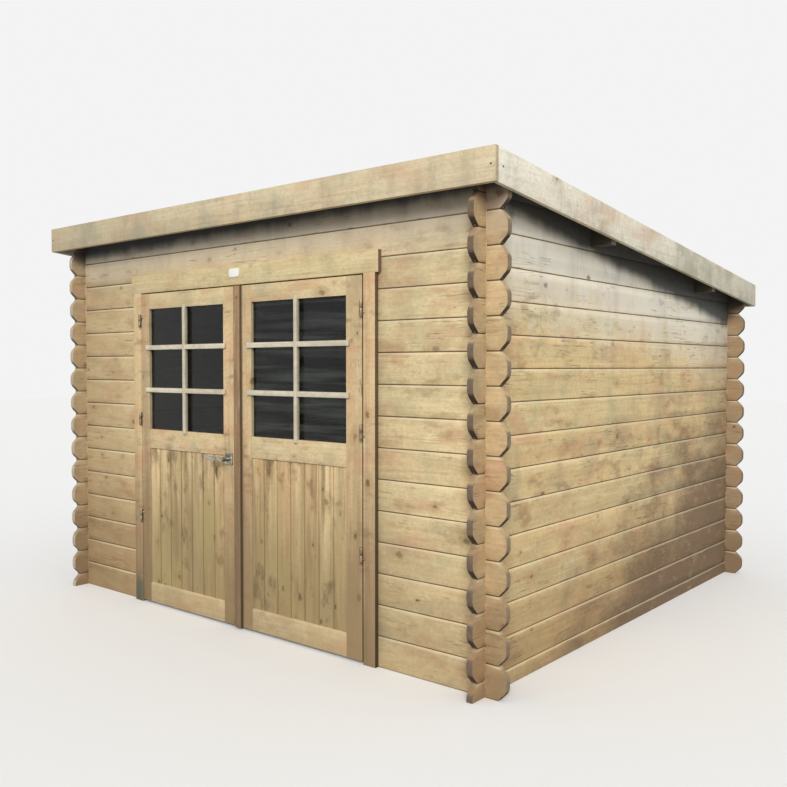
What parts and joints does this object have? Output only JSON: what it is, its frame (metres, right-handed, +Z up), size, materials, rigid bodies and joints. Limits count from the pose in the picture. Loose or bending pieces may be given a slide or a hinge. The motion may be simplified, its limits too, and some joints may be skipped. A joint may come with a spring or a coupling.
{
  "type": "log cabin",
  "caption": "Pent-roof log cabin of interlocking notched logs, with fascia boards all round and an outward-opening glazed double door with a lever handle.",
  "frame": {"origin": "under the middle of the roof outline, at ground level", "axes": "+X to the right along the front, +Y from the doors to the back, +Z up"},
  "size_m": [3.052, 2.934, 2.0686],
  "materials": {
    "wall_logs": "weathered sawn softwood",
    "side_logs": "weathered sawn softwood",
    "purlin_wood": "sawn softwood",
    "roof_boards": "planed softwood",
    "roofing_felt": "gritty bitumen felt",
    "fascia_wood": "weathered planed softwood",
    "frame_wood": "planed softwood",
    "door_wood": "planed softwood",
    "panel_boards": "planed softwood",
    "strip_wood": "planed softwood",
    "window_glass": "clear glass",
    "hinge_steel": "zinc plated",
    "lever_metal": "satin"
  },
  "bodies": {
    "cabin": {"front_left_logs_a": "wall_logs", "front_left_logs_b": "wall_logs", "front_right_logs_a": "wall_logs", "front_right_logs_b": "wall_logs", "front_header_logs_a": "wall_logs", "front_header_logs_b": "wall_logs", "left_wall_logs_a": "side_logs", "left_wall_logs_b": "side_logs", "right_wall_logs_a": "side_logs", "right_wall_logs_b": "side_logs", "back_wall_logs_a": "wall_logs", "back_wall_logs_b": "wall_logs", "purlins": "purlin_wood", "roof_deck": "roof_boards", "roof_felt": "roofing_felt", "front_fascia": "fascia_wood", "back_fascia": "fascia_wood", "left_fascia": "fascia_wood", "right_fascia": "fascia_wood", "left_jamb": "frame_wood", "right_jamb": "frame_wood", "head_jamb": "frame_wood", "left_casing": "frame_wood", "right_casing": "frame_wood", "head_casing": "frame_wood", "left_inner_casing": "frame_wood", "right_inner_casing": "frame_wood", "head_inner_casing": "frame_wood", "left_hinge_pins": "hinge_steel", "right_hinge_pins": "hinge_steel"},
    "left_door": {"left_door_stiles": "door_wood", "left_door_rails": "door_wood", "left_door_panel": "panel_boards", "left_door_glass": "window_glass", "left_door_hinges": "hinge_steel", "door_strip": "strip_wood", "lever_plates": "lever_metal"},
    "right_door": {"right_door_stiles": "door_wood", "right_door_rails": "door_wood", "right_door_panel": "panel_boards", "right_door_glass": "window_glass", "right_door_hinges": "hinge_steel"},
    "lever": {"door_lever": "lever_metal"}
  },
  "joints": [
    {"name": "left_door_hinge", "type": "hinge", "parent": "cabin", "child": "left_door", "pos_m": [-0.796, -1.373, 0], "axis": [0, 0, -1], "range_deg": [0, 160]},
    {"name": "right_door_hinge", "type": "hinge", "parent": "cabin", "child": "right_door", "pos_m": [0.796, -1.373, 0], "axis": [0, 0, 1], "range_deg": [0, 160]},
    {"name": "lever_turn", "type": "hinge", "parent": "left_door", "child": "lever", "pos_m": [-0.076, -1.361, 0.824], "axis": [0, -1, 0], "range_deg": [0, 40], "stiffness_Nm_per_rad": 1.5, "springref_deg": -20.05}
  ]
}
